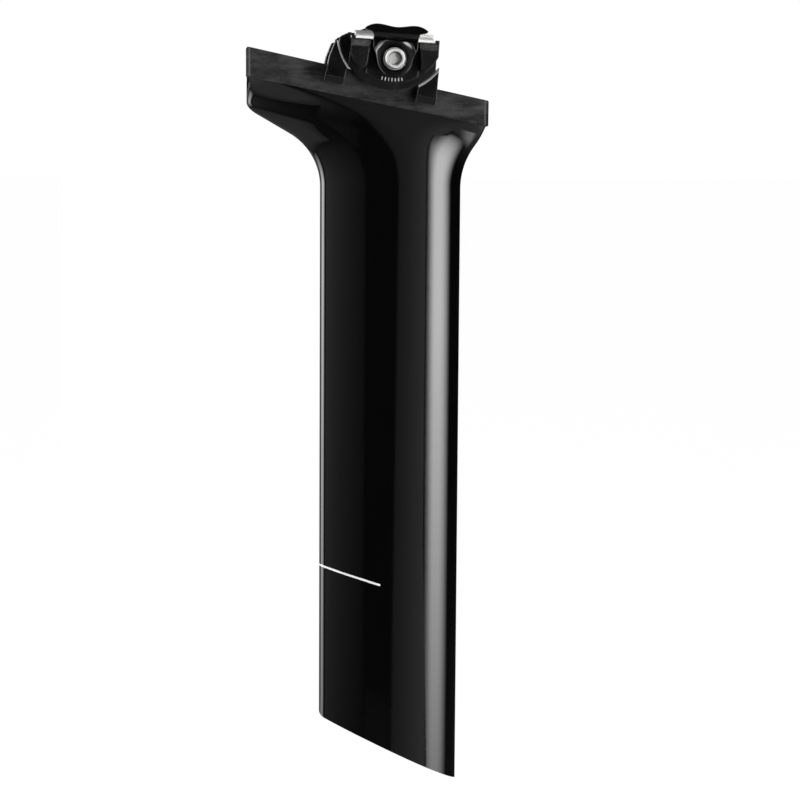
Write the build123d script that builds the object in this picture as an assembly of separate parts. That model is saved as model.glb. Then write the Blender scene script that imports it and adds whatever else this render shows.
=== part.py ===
from build123d import *
from math import atan, cos, degrees, pi, radians, sin, sqrt, tan
import os

os.makedirs("parts", exist_ok=True)

# An aero bicycle seatpost whose saddle clamp slides along a sloping rail head and tilts in it.
# X points to the front of the bicycle, Y to its left and Z up along the post, in millimetres.
# The origin is at mid-chord, level with the insertion line where that meets the trailing edge.

# Post section
section_chord = 70.0
section_thickness = 20.0
thickest_x = 9.0
tail_power = 1.7
tail_round = 1.6
blunt_power = 7.0
blunt_tail_power = 14.0
stretch_start = 19.0
post_wall = 2.6
cavity_tail_gap = 9.0
cavity_top = 176.0

# Post ends
shank_top = 172.0
cut_tail_z = -77.8
cut_slope = 25.95

# Head: a dovetail rail on a body that flares out of the post
head_slope = 12.05
head_top_z = 243.0
head_rear_x = -71.3
head_front_x = 47.4
rail_half_top = 13.0
rail_half_bottom = 12.3
rail_rear_height = 14.4
rail_front_height = 12.5
rail_corner = 2.6
rail_overlap = 2.0
body_half = 12.0
body_rear_z = 228.6
body_front_z = 218.6
rear_underside_slope = 30.0
rear_flare_radius = 30.0
front_underside_slope = 55.0
front_flare_radius = 36.0
edge_softness = 5.0
flare_shares = (0, 0.04, 0.1, 0.2, 0.3, 0.4, 0.5, 0.6, 0.69, 0.75, 0.79, 0.83, 0.88, 0.94, 1)
width_power = 3.0
blunt_growth = 4.0

# Clamp position: the tilt axis lies at the height of the saddle rails' centre line
axis_rise = 21.3
clamp_x = 0.0
cradle_slope = 3.3

# Saddle rails
rail_spacing = 44.0
saddle_rail_radius = 3.5

# Jaws: two brackets that grip the dovetail from the sides
slide_gap = 0.3
jaw_split = 0.8
jaw_outer = 18.0
foot_depth = 8.2
foot_chamfer_height = 3.2
foot_chamfer_depth = 2.0
foot_inset = 2.0
rear_foot_start = 19.2
rear_foot_end = 28.8
rear_shoulder_u = 28.5
rear_tip_u = 27.2
rear_tip_drop = 9.2
front_foot_start = 17.0
front_foot_end = 27.2
front_shoulder_u = 25.5
front_tip_u = 24.8
front_tip_drop = 10.2
shoulder_rise = 4.5
arm_corner = 1.0
arm_radius = 27.3
rim_chamfer = 0.8
block_half_length = 24.0
block_height = 8.5
seat_floor = 1.5
tooth_height = 0.5
tooth_pitch = 5.0

# Cradles: toothed hubs that turn in the jaws and carry the saddle rails
turn_gap = 0.3
side_gap = 0.6
cradle_half_length = 21.3
disc_thickness = 3.6
web_outer = 19.2
tower_outer = 26.0
tower_inner_u = 11.6
tower_foot_radius = 23.6
tower_foot_corner = 2.0
tower_taper = 2.5
web_margin = 1.0
groove_half_length = 19.3
groove_wall_top = 0.6
groove_lip = 23.0
beam_depth = 5.0
beam_step = 2.0
beam_lean = 1.5
hub_split = 1.2
front_lip_v = -3.7
cheek_top_v = -2.3
serration_drop = 0.5
serration_height = 3.0
serration_count = 8
serration_depth = 0.35

# Cross bolt, below the tilt axis
bolt_drop = 12.3
bolt_radius = 3.0
bolt_hole_gap = 0.3
bolt_head_radius = 5.0
bolt_head_height = 5.2
bolt_head_chamfer = 0.5
bolt_socket_flats = 6.0
bolt_socket_depth = 3.4
washer_radius = 5.4
washer_thickness = 1.0
nut_flats = 10.0
nut_height = 5.0
thread_gap = 0.05
bolt_overrun = 1.0

# Ears: outer plates that close over the saddle rails
ear_half_length = 15.3
ear_side_gap = 0.8
ear_outer_radius = 7.6
ear_grip_angle = 50.0
ear_lip_turn = 14.0
ear_lip = 2.4
ear_wing = 1.7
ear_gap = 0.3
ear_boss_radius = 8.6
ear_floor_radius = 5.8
ear_rim_radius = 10.6
ear_dish_floor = 25.2
ear_rim_outer = 28.4
ear_overlap = 1.2
ear_hump_u = 9.5
ear_hump_v = 3.8
ear_dip_v = 2.7
ear_corner_v = 1.5

slope_rise = tan(radians(head_slope))
head_length = head_front_x - head_rear_x
beyond = 4 * head_length
half_chord = section_chord / 2
rail_side = rail_spacing / 2


def rail_edge_z(x):
    """Height of the rail's lower edge, which falls a little less than the head's upper face."""
    rear_z = head_top_z - head_rear_x * slope_rise - rail_rear_height
    front_z = head_top_z - head_front_x * slope_rise - rail_front_height
    return blend(rear_z, front_z, (x - head_rear_x) / head_length)


def blend(first, second, share):
    return first + (second - first) * share


# Side profile of the head's underside: where the flare stands at each height
def flared_reach(z, straight_x, edge_x, edge_z, slope, radius):
    """Distance from the post's edge at height z, along a slope that a fillet joins to the post."""
    reach = abs(edge_x - straight_x)
    rise = tan(radians(slope))
    corner_z = edge_z - reach * rise
    tangent = radius * tan(radians(90 - slope) / 2)
    fillet_end = corner_z + tangent * sin(radians(slope))
    fillet_start = corner_z - tangent
    if z <= fillet_start:
        return 0.0
    if z >= fillet_end:
        along = (z - corner_z) / rise
        nearness = max(0, 1 - abs(along - reach) / edge_softness)
        return min(reach, along) - edge_softness / 4 * nearness ** 2
    return radius - sqrt(radius ** 2 - (z - fillet_start) ** 2)


def section_outline(rear_x, front_x, half_width, bluntness):
    """Points round a section that changes from an aerofoil, at 0, to a blunt rail, at 1."""
    nose_length = half_chord - thickest_x
    nose_angles = [radians(a) for a in (0, 7, 16, 27, 39, 52, 65, 78, 90)]
    tail_angles = [radians(a) for a in (80, 70, 60, 50, 40, 30, 21, 13, 6, 0)]
    side = []
    for a in nose_angles:
        foil_x = thickest_x + nose_length * cos(a)
        forward = max(0, foil_x - stretch_start) / (half_chord - stretch_start)
        foil_x = foil_x + (front_x - half_chord) * forward ** 2
        blunt_x = thickest_x + (front_x - thickest_x) * cos(a) ** (2 / blunt_power)
        y = half_width * blend(sin(a), sin(a) ** (2 / blunt_power), bluntness)
        side.append((blend(foil_x, blunt_x, bluntness), y))
    for a in tail_angles:
        foil_x = thickest_x - (thickest_x - rear_x) * cos(a) ** (2 / tail_power)
        blunt_x = thickest_x - (thickest_x - rear_x) * cos(a) ** (2 / blunt_tail_power)
        y = half_width * blend(sin(a) ** (2 / tail_round), sin(a) ** (2 / blunt_power), bluntness)
        side.append((blend(foil_x, blunt_x, bluntness), y))
    other_side = [(x, -y) for x, y in reversed(side[1:-1])]
    return side + other_side


def section_face(points, plane):
    return plane * make_face(Spline(*points, periodic=True))


def level_face(share):
    """Section of the flare, from the post's top at 0 to the rail's lower edge at 1."""
    rear_z = blend(shank_top, rail_edge_z(head_rear_x), share)
    front_z = blend(shank_top, rail_edge_z(head_front_x), share)
    rear_x = -half_chord - flared_reach(
        rear_z, -half_chord, head_rear_x, body_rear_z, rear_underside_slope, rear_flare_radius)
    front_x = half_chord + flared_reach(
        front_z, half_chord, head_front_x, body_front_z, front_underside_slope, front_flare_radius)
    tilt = atan((rear_z - front_z) / (front_x - rear_x))
    plane = Plane(origin=(rear_x, 0, rear_z), x_dir=(cos(tilt), 0, -sin(tilt)),
                  z_dir=(sin(tilt), 0, cos(tilt)))
    stretch = 1 / cos(tilt)
    half = blend(section_thickness / 2, body_half, share ** width_power)
    outline = section_outline(rear_x, front_x, half, share ** blunt_growth)
    return section_face([((x - rear_x) * stretch, y) for x, y in outline], plane)


def slab(z_at_zero, slope, thickness):
    """A wide slab on a plane that slopes down to the front, above it or, if negative, below it."""
    tilted = Plane(origin=(0, 0, z_at_zero), x_dir=(cos(radians(slope)), 0, -sin(radians(slope))),
                   z_dir=(sin(radians(slope)), 0, cos(radians(slope))))
    return tilted * Pos(0, 0, thickness / 2) * Box(beyond, beyond, abs(thickness))


def rail_prism(clearance):
    """The dovetail rail as an endless bar along the head's slope, wider by a clearance."""
    lean = (rail_half_top - rail_half_bottom) / rail_rear_height
    top = rail_half_top + clearance
    depth = 2 * rail_rear_height
    low = top - depth * lean
    profile = Polygon((-top, 0), (top, 0), (low, -depth), (-low, -depth), align=None)
    plane = Plane(origin=(0, 0, head_top_z + clearance / cos(radians(head_slope))),
                  x_dir=(0, 1, 0), z_dir=(cos(radians(head_slope)), 0, -sin(radians(head_slope))))
    return plane * extrude(profile, beyond, both=True)


def post():
    foil = section_outline(-half_chord, half_chord, section_thickness / 2, 0)
    bottom = cut_tail_z - 2 * section_chord
    shank = extrude(section_face(foil, Plane.XY.offset(bottom)), shank_top - bottom)
    plan_centre = (head_front_x + head_rear_x) / 2
    plan = Pos(plan_centre, 0, 0) * RectangleRounded(head_length, 2 * rail_half_top, rail_corner)
    flare = loft([level_face(share) for share in flare_shares])
    flare_root = extrude(level_face(1), rail_overlap)
    rail = extrude(plan, 2 * head_top_z) & rail_prism(0)
    band_slope = degrees(atan((rail_edge_z(0) - rail_edge_z(head_length)) / head_length))
    rail = rail & slab(rail_edge_z(0), band_slope, beyond)
    solid = shank + flare + flare_root + rail
    inner = section_outline(-half_chord + cavity_tail_gap, half_chord - post_wall,
                            section_thickness / 2 - post_wall, 0)
    cavity = extrude(section_face(inner, Plane.XY.offset(bottom)), cavity_top - bottom)
    cut_z = cut_tail_z - half_chord * tan(radians(cut_slope))
    below = slab(cut_z, cut_slope, -3 * section_chord)
    return solid - cavity - below


# Frames for the clamp: u runs forward, v up, and the plane's normal points to the right-hand side
def side_frame(slope):
    axis_z = head_top_z - clamp_x * slope_rise + axis_rise / cos(radians(head_slope))
    return Plane(origin=(clamp_x, 0, axis_z), x_dir=(cos(radians(slope)), 0, -sin(radians(slope))),
                 z_dir=(0, -1, 0))


jaw_frame = side_frame(head_slope)
cradle_frame = side_frame(cradle_slope)
bolt_frame = cradle_frame * Pos(0, -bolt_drop, 0)


def side_slab(frame, face, inner, outer):
    """A flat face in a side frame, thickened between two distances from the middle plane."""
    return frame * Pos(0, 0, inner) * extrude(face, outer - inner, dir=(0, 0, 1))


def toothed_disc(tip, root):
    """A disc with pointed teeth all round, on points at two radii in turn."""
    count = round(360 / tooth_pitch)
    points = []
    for i in range(2 * count):
        angle = pi * i / count
        radius = tip if i % 2 else root
        points.append((radius * cos(angle), radius * sin(angle)))
    return Polygon(*points, align=None)


def box_face(u0, v0, u1, v1):
    return Pos((u0 + u1) / 2, (v0 + v1) / 2) * Rectangle(u1 - u0, v1 - v0)


def mirrored(face):
    return face + mirror(face, about=Plane.YZ)


# Jaw
foot_bottom_v = -axis_rise - foot_depth
jaw_bottom_v = -axis_rise + slide_gap
seat_root = axis_rise - slide_gap - seat_floor
seat_radius = seat_root - tooth_height


def arm_face(foot_start, foot_end, shoulder_u, tip_u, tip_drop):
    """Side view of one arm and its foot, on the side where u is positive."""
    arm = Polygon((foot_start, foot_bottom_v), (foot_end, foot_bottom_v),
                  (shoulder_u, shoulder_rise - axis_rise), (tip_u, -tip_drop), (0, -tip_drop),
                  (0, -axis_rise), (foot_start, -axis_rise), align=None)
    outer_corners = arm.vertices().sort_by(Axis.X)[-4:]
    return fillet(outer_corners, arm_corner) - Circle(arm_radius)


def jaw():
    front = arm_face(front_foot_start, front_foot_end, front_shoulder_u, front_tip_u, front_tip_drop)
    rear = arm_face(rear_foot_start, rear_foot_end, rear_shoulder_u, rear_tip_u, rear_tip_drop)
    block = box_face(-block_half_length, jaw_bottom_v, block_half_length, jaw_bottom_v + block_height)
    block = block - toothed_disc(seat_root, seat_radius)
    inner_side = rail_half_top + slide_gap
    arms = front + mirror(rear, about=Plane.YZ)
    solid = side_slab(jaw_frame, arms, rail_half_bottom - foot_inset, jaw_outer)
    solid = solid + side_slab(jaw_frame, block, jaw_split / 2, inner_side)
    solid = solid - rail_prism(slide_gap)
    wedge = Polygon((foot_bottom_v, jaw_outer), (foot_bottom_v, jaw_outer - foot_chamfer_depth),
                    (foot_bottom_v + foot_chamfer_height, jaw_outer), align=None)
    plane = Plane(origin=jaw_frame.origin, x_dir=jaw_frame.y_dir, z_dir=jaw_frame.x_dir)
    solid = solid - plane * extrude(wedge, 2 * rear_foot_end, both=True)
    rims = solid.edges().filter_by(GeomType.CIRCLE)
    rims = rims.filter_by(lambda edge: abs(edge.radius - arm_radius) < rim_chamfer / 10)
    return chamfer(rims.group_by(Axis.Y)[0], rim_chamfer)


# Cradle
disc_inner = rail_half_top + side_gap
disc_radius = arm_radius - turn_gap
hub_tip = seat_radius - turn_gap


def cradle():
    disc = Circle(disc_radius) & box_face(-cradle_half_length, -disc_radius, cradle_half_length, -beam_depth)
    solid = side_slab(cradle_frame, disc, disc_inner, disc_inner + disc_thickness)
    web = Circle(tower_foot_radius) & box_face(
        -tower_inner_u - web_margin, -tower_foot_radius, tower_inner_u + web_margin, -beam_depth)
    solid = solid + side_slab(cradle_frame, web, disc_inner, web_outer)
    hub = toothed_disc(hub_tip, hub_tip - tooth_height) & box_face(
        -hub_tip, -hub_tip, hub_tip, -beam_depth - beam_step)
    solid = solid + side_slab(cradle_frame, hub, hub_split / 2, disc_inner)
    tower = Polygon((tower_inner_u, cheek_top_v), (tower_inner_u + tower_taper, -tower_foot_radius),
                    (cradle_half_length, -tower_foot_radius), (cradle_half_length, cheek_top_v), align=None)
    tower = tower & Circle(tower_foot_radius)
    tower = fillet(tower.vertices().sort_by(Axis.Y)[:2], tower_foot_corner)
    solid = solid + side_slab(cradle_frame, mirrored(tower), disc_inner, tower_outer)
    lip = box_face(-groove_half_length, front_lip_v, groove_half_length, 0)
    solid = solid - side_slab(cradle_frame, lip, groove_lip, 2 * tower_outer)
    beam = Polygon((-beam_depth - beam_step, disc_inner), (groove_wall_top, disc_inner + beam_lean),
                   (groove_wall_top, rail_side), (front_lip_v, groove_lip), (-beam_depth, groove_lip),
                   (-beam_depth, web_outer), (-beam_depth - beam_step, web_outer), align=None)
    plane = Plane(origin=cradle_frame.origin, x_dir=cradle_frame.y_dir, z_dir=cradle_frame.x_dir)
    solid = solid + plane * extrude(beam, groove_half_length, both=True)
    groove = plane * Pos(0, rail_side, 0) * Cylinder(saddle_rail_radius, 4 * cradle_half_length)
    solid = solid - groove
    hole = side_slab(cradle_frame, Pos(0, -bolt_drop) * Circle(bolt_radius + bolt_hole_gap), 0, tower_outer)
    solid = solid - hole
    step = (cradle_half_length - tower_inner_u) / (serration_count + 1)
    for end in (-1, 1):
        for i in range(serration_count):
            u = end * (tower_inner_u + step * (i + 1))
            cut = Pos(u, front_lip_v - serration_height / 2 - serration_drop) * Rectangle(
                step / 2, serration_height)
            solid = solid - side_slab(cradle_frame, cut, tower_outer - serration_depth, 2 * tower_outer)
    return solid


# Ear
def ear():
    seat = web_outer + ear_gap
    groove_r = saddle_rail_radius
    grip = radians(ear_grip_angle)
    lip_turn = radians(ear_lip_turn)
    lip = (groove_r * sin(grip), rail_side + groove_r * cos(grip))
    top = (ear_outer_radius * sin(grip + lip_turn), rail_side + ear_outer_radius * cos(grip + lip_turn))
    side = (0, rail_side + ear_outer_radius)
    low = (ear_outer_radius * sin(-lip_turn), rail_side + ear_outer_radius * cos(lip_turn))
    lip_y = groove_lip + ear_gap
    wall_v = -sqrt(groove_r ** 2 - (lip_y - rail_side) ** 2)
    step_v = -beam_depth - ear_gap
    # The bar that closes over the rail
    profile = make_face([
        Line(lip, (lip[0] + ear_lip, lip[1])),
        Line((lip[0] + ear_lip, lip[1]), top),
        ThreePointArc(top, side, low),
        Line(low, (step_v, ear_dish_floor)),
        Line((step_v, ear_dish_floor), (step_v, lip_y)),
        Line((step_v, lip_y), (wall_v, lip_y)),
        ThreePointArc((wall_v, lip_y), (0, rail_side + groove_r), lip),
    ])
    plane = Plane(origin=cradle_frame.origin, x_dir=cradle_frame.y_dir, z_dir=cradle_frame.x_dir)
    bar = plane * extrude(profile, ear_half_length, both=True)
    waist = tower_inner_u - ear_side_gap
    half = [(ear_half_length, ear_corner_v), (ear_half_length - ear_wing / 3, ear_corner_v - ear_wing / 2),
            (waist + ear_wing / 2, ear_corner_v - ear_wing), (waist, ear_corner_v - 2 * ear_wing),
            (waist, -beam_depth - beam_step), (ear_boss_radius, -bolt_drop)]
    other_half = [(-u, v) for u, v in reversed(half)]
    crest = Spline(other_half[-1], (-ear_hump_u, ear_hump_v), (0, ear_dip_v), (ear_hump_u, ear_hump_v), half[0])
    shield = make_face([crest, Polyline(*half, *other_half)])
    bar = bar & side_slab(cradle_frame, shield, seat, 2 * rail_side)
    # The dished shield below it, which takes the bolt
    foot = Circle(ear_boss_radius).locate(Location((0, -bolt_drop)))
    lower = make_face(Polyline((waist, step_v + ear_overlap), (waist, -beam_depth - beam_step),
                               (ear_boss_radius, -bolt_drop), (-ear_boss_radius, -bolt_drop),
                               (-waist, -beam_depth - beam_step), (-waist, step_v + ear_overlap), close=True))
    upper = box_face(-waist, step_v, waist, 0)
    dish = side_slab(cradle_frame, lower + foot, seat, ear_rim_outer)
    dish = dish - side_slab(cradle_frame, upper, seat, lip_y)
    depth = ear_rim_outer - ear_dish_floor
    bowl = bolt_frame * Pos(0, 0, ear_dish_floor + depth / 2) * Cone(ear_floor_radius, ear_rim_radius, depth)
    hole = side_slab(cradle_frame, Pos(0, -bolt_drop) * Circle(bolt_radius + bolt_hole_gap), 0, 2 * rail_side)
    return bar + (dish - bowl) - hole


# Fasteners, on the bolt's axis, which points to the right-hand side
head_seat = ear_dish_floor + washer_thickness


def washer():
    ring = Circle(washer_radius) - Circle(bolt_radius + bolt_hole_gap)
    return bolt_frame * Pos(0, 0, ear_dish_floor) * extrude(ring, washer_thickness)


def clamp_bolt():
    head = Pos(0, 0, head_seat) * extrude(Circle(bolt_head_radius), bolt_head_height)
    head = chamfer(head.edges().group_by(Axis.Z)[-1], bolt_head_chamfer)
    socket = RegularPolygon(bolt_socket_flats / 2, 6, major_radius=False)
    floor = head_seat + bolt_head_height - bolt_socket_depth
    head = head - Pos(0, 0, floor) * extrude(socket, 2 * bolt_socket_depth)
    far_end = head_seat + nut_height + bolt_overrun
    shank = Pos(0, 0, -far_end) * extrude(Circle(bolt_radius), far_end + head_seat)
    return bolt_frame * (head + shank)


def clamp_nut():
    hexagon = RegularPolygon(nut_flats / 2, 6, major_radius=False) - Circle(bolt_radius + thread_gap)
    return bolt_frame * Pos(0, 0, -head_seat - nut_height) * extrude(hexagon, nut_height)


right_parts = {"jaw": jaw(), "cradle": cradle(), "ear": ear(), "washer": washer()}
pieces = {"post": post(), "clamp_bolt": clamp_bolt(), "clamp_nut": clamp_nut()}
for name, right_part in right_parts.items():
    pieces[name + "_right"] = right_part
    pieces[name + "_left"] = mirror(right_part, about=Plane.XZ)

for name, piece in pieces.items():
    export_step(piece, "parts/" + name + ".step")
    print(name, round(piece.volume), piece.is_valid)
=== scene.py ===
import math

import bmesh
import bpy
from mathutils import Matrix, Vector


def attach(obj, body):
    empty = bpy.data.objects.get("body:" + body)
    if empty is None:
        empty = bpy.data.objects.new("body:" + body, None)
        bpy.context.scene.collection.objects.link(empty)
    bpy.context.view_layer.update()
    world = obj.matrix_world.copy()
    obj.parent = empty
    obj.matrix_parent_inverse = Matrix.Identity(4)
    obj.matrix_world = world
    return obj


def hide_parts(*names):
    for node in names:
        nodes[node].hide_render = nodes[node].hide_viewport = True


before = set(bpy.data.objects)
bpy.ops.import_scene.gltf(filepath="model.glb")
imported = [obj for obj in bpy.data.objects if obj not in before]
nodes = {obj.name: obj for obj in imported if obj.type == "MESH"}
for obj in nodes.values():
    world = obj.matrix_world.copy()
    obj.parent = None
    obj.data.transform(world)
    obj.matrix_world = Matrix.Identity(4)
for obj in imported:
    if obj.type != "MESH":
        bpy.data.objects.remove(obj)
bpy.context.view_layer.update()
print("frame loaded:", len(nodes), "nodes")

# where things stand on the real part, in metres and degrees
place = {
    "headSlope": 12.05,          # the head falls to the front
    "cradleSlope": 3.3,          # the saddle rails' fall, as in the picture
    "bandEdgeHeight": 0.22974,   # lower edge of the matt rail at mid-chord
    "bandEdgeFall": 0.19746,     # its fall per metre of length
    "axisHeight": 0.26478,       # tilt axis, level with the saddle rails
    "railSide": 0.022,           # saddle rails from the middle plane
}


def toLinear(hexText):
    values = [int(hexText[i:i + 2], 16) / 255 for i in (1, 3, 5)]
    return [v / 12.92 if v < 0.04045 else ((v + 0.055) / 1.055) ** 2.4 for v in values] + [1]


def addNode(tree, kind, settings=None, links=None):
    # settings name a property or an input, links name an input and the node or socket that feeds it
    node = tree.nodes.new(kind)
    for key, value in (settings or {}).items():
        if isinstance(key, int) or key in node.inputs:
            node.inputs[key].default_value = value
        else:
            setattr(node, key, value)
    for key, source in (links or {}).items():
        socket = source.outputs[0] if isinstance(source, bpy.types.Node) else source
        tree.links.new(socket, node.inputs[key])
    return node


def newMaterial(name):
    material = bpy.data.materials.new(name)
    material.use_nodes = True
    tree = material.node_tree
    tree.nodes.clear()
    where = addNode(tree, "ShaderNodeTexCoord").outputs["Object"]
    return material, tree, where


# Camera: fitted to the photograph, a 100 mm lens about 1.1 m away
camera = {
    "place": (-0.10086, -1.10478, 0.21862),
    "right": (0.99545, -0.09505, 0.00657),
    "up": (0.00499, 0.12088, 0.99265),
    "ahead": (0.09514, 0.98811, -0.12081),
    "lens": 100,
}


def makeCamera():
    data = bpy.data.cameras.new("camera")
    data.lens = camera["lens"]
    data.sensor_width = 36
    data.sensor_fit = "HORIZONTAL"
    data.clip_start = 0.01
    shot = bpy.data.objects.new("camera", data)
    bpy.context.scene.collection.objects.link(shot)
    right, up, ahead = (Vector(camera[k]).normalized() for k in ("right", "up", "ahead"))
    turn = Matrix((right, up, -ahead)).transposed()
    shot.matrix_world = Matrix.Translation(camera["place"]) @ turn.to_4x4()
    bpy.context.scene.camera = shot


makeCamera()
print("camera set")

# Post: an aerofoil that flares into a blunt rail head, in millimetres as on the drawing
post = {
    "chord": 70.0,
    "thickness": 20.0,
    "thickestX": 9.0,
    "tailPower": 1.7,
    "tailRound": 1.6,
    "bluntPower": 7.0,          # the head's section is nearly a rectangle
    "bluntTailPower": 14.0,
    "bluntGrowth": 10.0,        # how late the flare takes that section
    "stretchStart": 19.0,       # ahead of this the section stretches as the head grows forward
    "stretchPower": 1.4,
    "wall": 2.6,
    "boreTailGap": 9.0,
    "boreTop": 176.0,
    "shankTop": 172.0,
    "cutTail": -77.8,           # the foot is sawn at a slant
    "cutSlope": 25.95,
    "footCorner": 2.2,
    "headRear": -71.3,
    "headFront": 47.4,
    "bodyHalf": 12.0,
    "rear": {"edgeZ": 228.6, "slope": 30.0, "radius": 30.0},
    "front": {"edgeZ": 218.6, "slope": 55.0, "radius": 36.0},
    "edgeSoftness": 5.0,
    "widthPower": 3.0,
    "around": 200,              # points round the section
    "shankLevels": 24,          # sections up the shank
    "levels": 72,               # sections up the flare
}


def blend(first, second, share):
    return first + (second - first) * share


def outline(rearX, frontX, half, blunt):
    widest = post["thickestX"]
    halfChord = post["chord"] / 2
    quarter = post["around"] // 4
    side = []
    for i in range(quarter):
        a = math.pi / 2 * i / quarter
        foilX = widest + (halfChord - widest) * math.cos(a)
        forward = max(0, foilX - post["stretchStart"]) / (halfChord - post["stretchStart"])
        foilX += (frontX - halfChord) * forward ** post["stretchPower"]
        bluntX = widest + (frontX - widest) * math.cos(a) ** (2 / post["bluntPower"])
        y = half * blend(math.sin(a), math.sin(a) ** (2 / post["bluntPower"]), blunt)
        side.append((blend(foilX, bluntX, blunt), y))
    for i in range(quarter + 1):
        a = math.pi / 2 * (1 - i / quarter)
        foilX = widest - (widest - rearX) * math.cos(a) ** (2 / post["tailPower"])
        bluntX = widest - (widest - rearX) * math.cos(a) ** (2 / post["bluntTailPower"])
        y = half * blend(math.sin(a) ** (2 / post["tailRound"]), math.sin(a) ** (2 / post["bluntPower"]), blunt)
        side.append((blend(foilX, bluntX, blunt), y))
    return side + [(x, -y) for x, y in reversed(side[1:-1])]


def flaredReach(z, reach, edge):
    # how far the underside stands out from the post at height z: a fillet, a slope, a soft edge
    rise = math.tan(math.radians(edge["slope"]))
    cornerZ = edge["edgeZ"] - reach * rise
    tangent = edge["radius"] * math.tan(math.radians(90 - edge["slope"]) / 2)
    filletStart = cornerZ - tangent
    if z <= filletStart:
        return 0.0
    if z < cornerZ + tangent * math.sin(math.radians(edge["slope"])):
        return edge["radius"] - math.sqrt(edge["radius"] ** 2 - (z - filletStart) ** 2)
    along = (z - cornerZ) / rise
    nearness = max(0, 1 - abs(along - reach) / post["edgeSoftness"])
    return min(reach, along) - post["edgeSoftness"] / 4 * nearness ** 2


def bandEdge(x):
    return place["bandEdgeHeight"] * 1000 - place["bandEdgeFall"] * x


def flareRing(share):
    half = post["chord"] / 2
    rearZ = blend(post["shankTop"], bandEdge(post["headRear"]), share)
    frontZ = blend(post["shankTop"], bandEdge(post["headFront"]), share)
    rearX = -half - flaredReach(rearZ, -post["headRear"] - half, post["rear"])
    frontX = half + flaredReach(frontZ, post["headFront"] - half, post["front"])
    width = blend(post["thickness"] / 2, post["bodyHalf"], share ** post["widthPower"])
    fall = (rearZ - frontZ) / (frontX - rearX)
    points = outline(rearX, frontX, width, share ** post["bluntGrowth"])
    return [(x, y, rearZ - (x - rearX) * fall) for x, y in points]


def cutHeight(x):
    # the slanted foot, with its corner at the tail softened
    fromTail = x + post["chord"] / 2
    rounded = max(0.0, 1 - fromTail / post["footCorner"])
    sawn = post["cutTail"] - fromTail * math.tan(math.radians(post["cutSlope"]))
    return sawn + post["footCorner"] * (1 - math.sqrt(1 - rounded ** 2))


def meshFrom(name, points, faces, material, smoothAngle=30):
    mesh = bpy.data.meshes.new(name)
    mesh.from_pydata([(x / 1000, y / 1000, z / 1000) for x, y, z in points], [], faces)
    mesh.validate()
    mesh.shade_smooth()
    mesh.set_sharp_from_angle(angle=math.radians(smoothAngle))
    mesh.materials.append(material)
    piece = bpy.data.objects.new(name, mesh)
    bpy.context.scene.collection.objects.link(piece)
    return piece


def ringFaces(rings, count):
    # quads between rings of the same count, with both ends closed
    faces = [tuple(reversed(range(count)))]
    for r in range(rings - 1):
        for i in range(count):
            j = (i + 1) % count
            faces.append((r * count + i, r * count + j, (r + 1) * count + j, (r + 1) * count + i))
    faces.append(tuple((rings - 1) * count + i for i in range(count)))
    return faces


def lacqueredCarbon():
    # carbon fibre under clear lacquer: deep black and mirror-like, with a trace of orange peel
    material, tree, where = newMaterial("lacqueredCarbon")
    stretched = addNode(tree, "ShaderNodeMapping", {"Scale": (1, 1, 0.02)}, {"Vector": where})
    # fibre bundles are about 0.9 mm wide here, drawn coarser than the real tow so that they show
    fibres = addNode(tree, "ShaderNodeTexNoise", {"Scale": 1000 / 0.9, "Detail": 3, "Roughness": 0.6},
                     {"Vector": stretched})
    cloud = addNode(tree, "ShaderNodeTexNoise", {"Scale": 1000 / 26, "Detail": 2}, {"Vector": where})
    tone = addNode(tree, "ShaderNodeMix", {"Factor": 0.5}, {2: fibres, 3: cloud})
    base = addNode(tree, "ShaderNodeMix", {"data_type": "RGBA", 6: toLinear("#020202"), 7: toLinear("#050506")},
                   {0: tone})
    # printed insertion line round the trailing edge: where the height over the line's slope is near 0
    apart = addNode(tree, "ShaderNodeSeparateXYZ", None, {0: where}).outputs
    lift = addNode(tree, "ShaderNodeMath", {"operation": "ADD", 1: lines["tail"]}, {0: apart[0]})
    height = addNode(tree, "ShaderNodeMath", {"operation": "MULTIPLY_ADD", 1: math.tan(math.radians(lines["slope"]))},
                     {0: lift, 2: apart[2]})
    away = addNode(tree, "ShaderNodeMath", {"operation": "ABSOLUTE"}, {0: height})
    near = addNode(tree, "ShaderNodeMath", {"operation": "LESS_THAN", 1: lines["halfWidth"]}, {0: away})
    behind = addNode(tree, "ShaderNodeMath", {"operation": "LESS_THAN", 1: lines["frontEnd"]}, {0: apart[0]})
    printed = addNode(tree, "ShaderNodeMath", {"operation": "MULTIPLY"}, {0: near, 1: behind})
    speckle = addNode(tree, "ShaderNodeTexNoise", {"Scale": 1000 / 1.5}, {"Vector": where})
    ink = addNode(tree, "ShaderNodeMix", {"data_type": "RGBA", 6: toLinear("#b9b9b8"), 7: toLinear("#d2d2d1")},
                  {0: speckle})
    colour = addNode(tree, "ShaderNodeMix", {"data_type": "RGBA"},
                     {0: printed, 6: base.outputs[2], 7: ink.outputs[2]})
    dull = addNode(tree, "ShaderNodeMapRange", {"From Min": 0.3, "From Max": 0.7, "To Min": 0.3, "To Max": 0.42},
                   {"Value": cloud})
    ripple = addNode(tree, "ShaderNodeTexNoise", {"Scale": 1000 / 4.0, "Detail": 1}, {"Vector": where})
    peel = addNode(tree, "ShaderNodeBump", {"Strength": 0.035, "Distance": 0.0002}, {"Height": ripple})
    shader = addNode(tree, "ShaderNodeBsdfPrincipled",
                     {"IOR": 1.5, "Specular IOR Level": 0.0, "Coat Weight": 1.0, "Coat Roughness": 0.055,
                      "Coat IOR": 1.5},
                     {"Base Color": colour.outputs[2], "Roughness": dull, "Coat Normal": peel})
    addNode(tree, "ShaderNodeOutputMaterial", None, {"Surface": shader})
    return material


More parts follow.
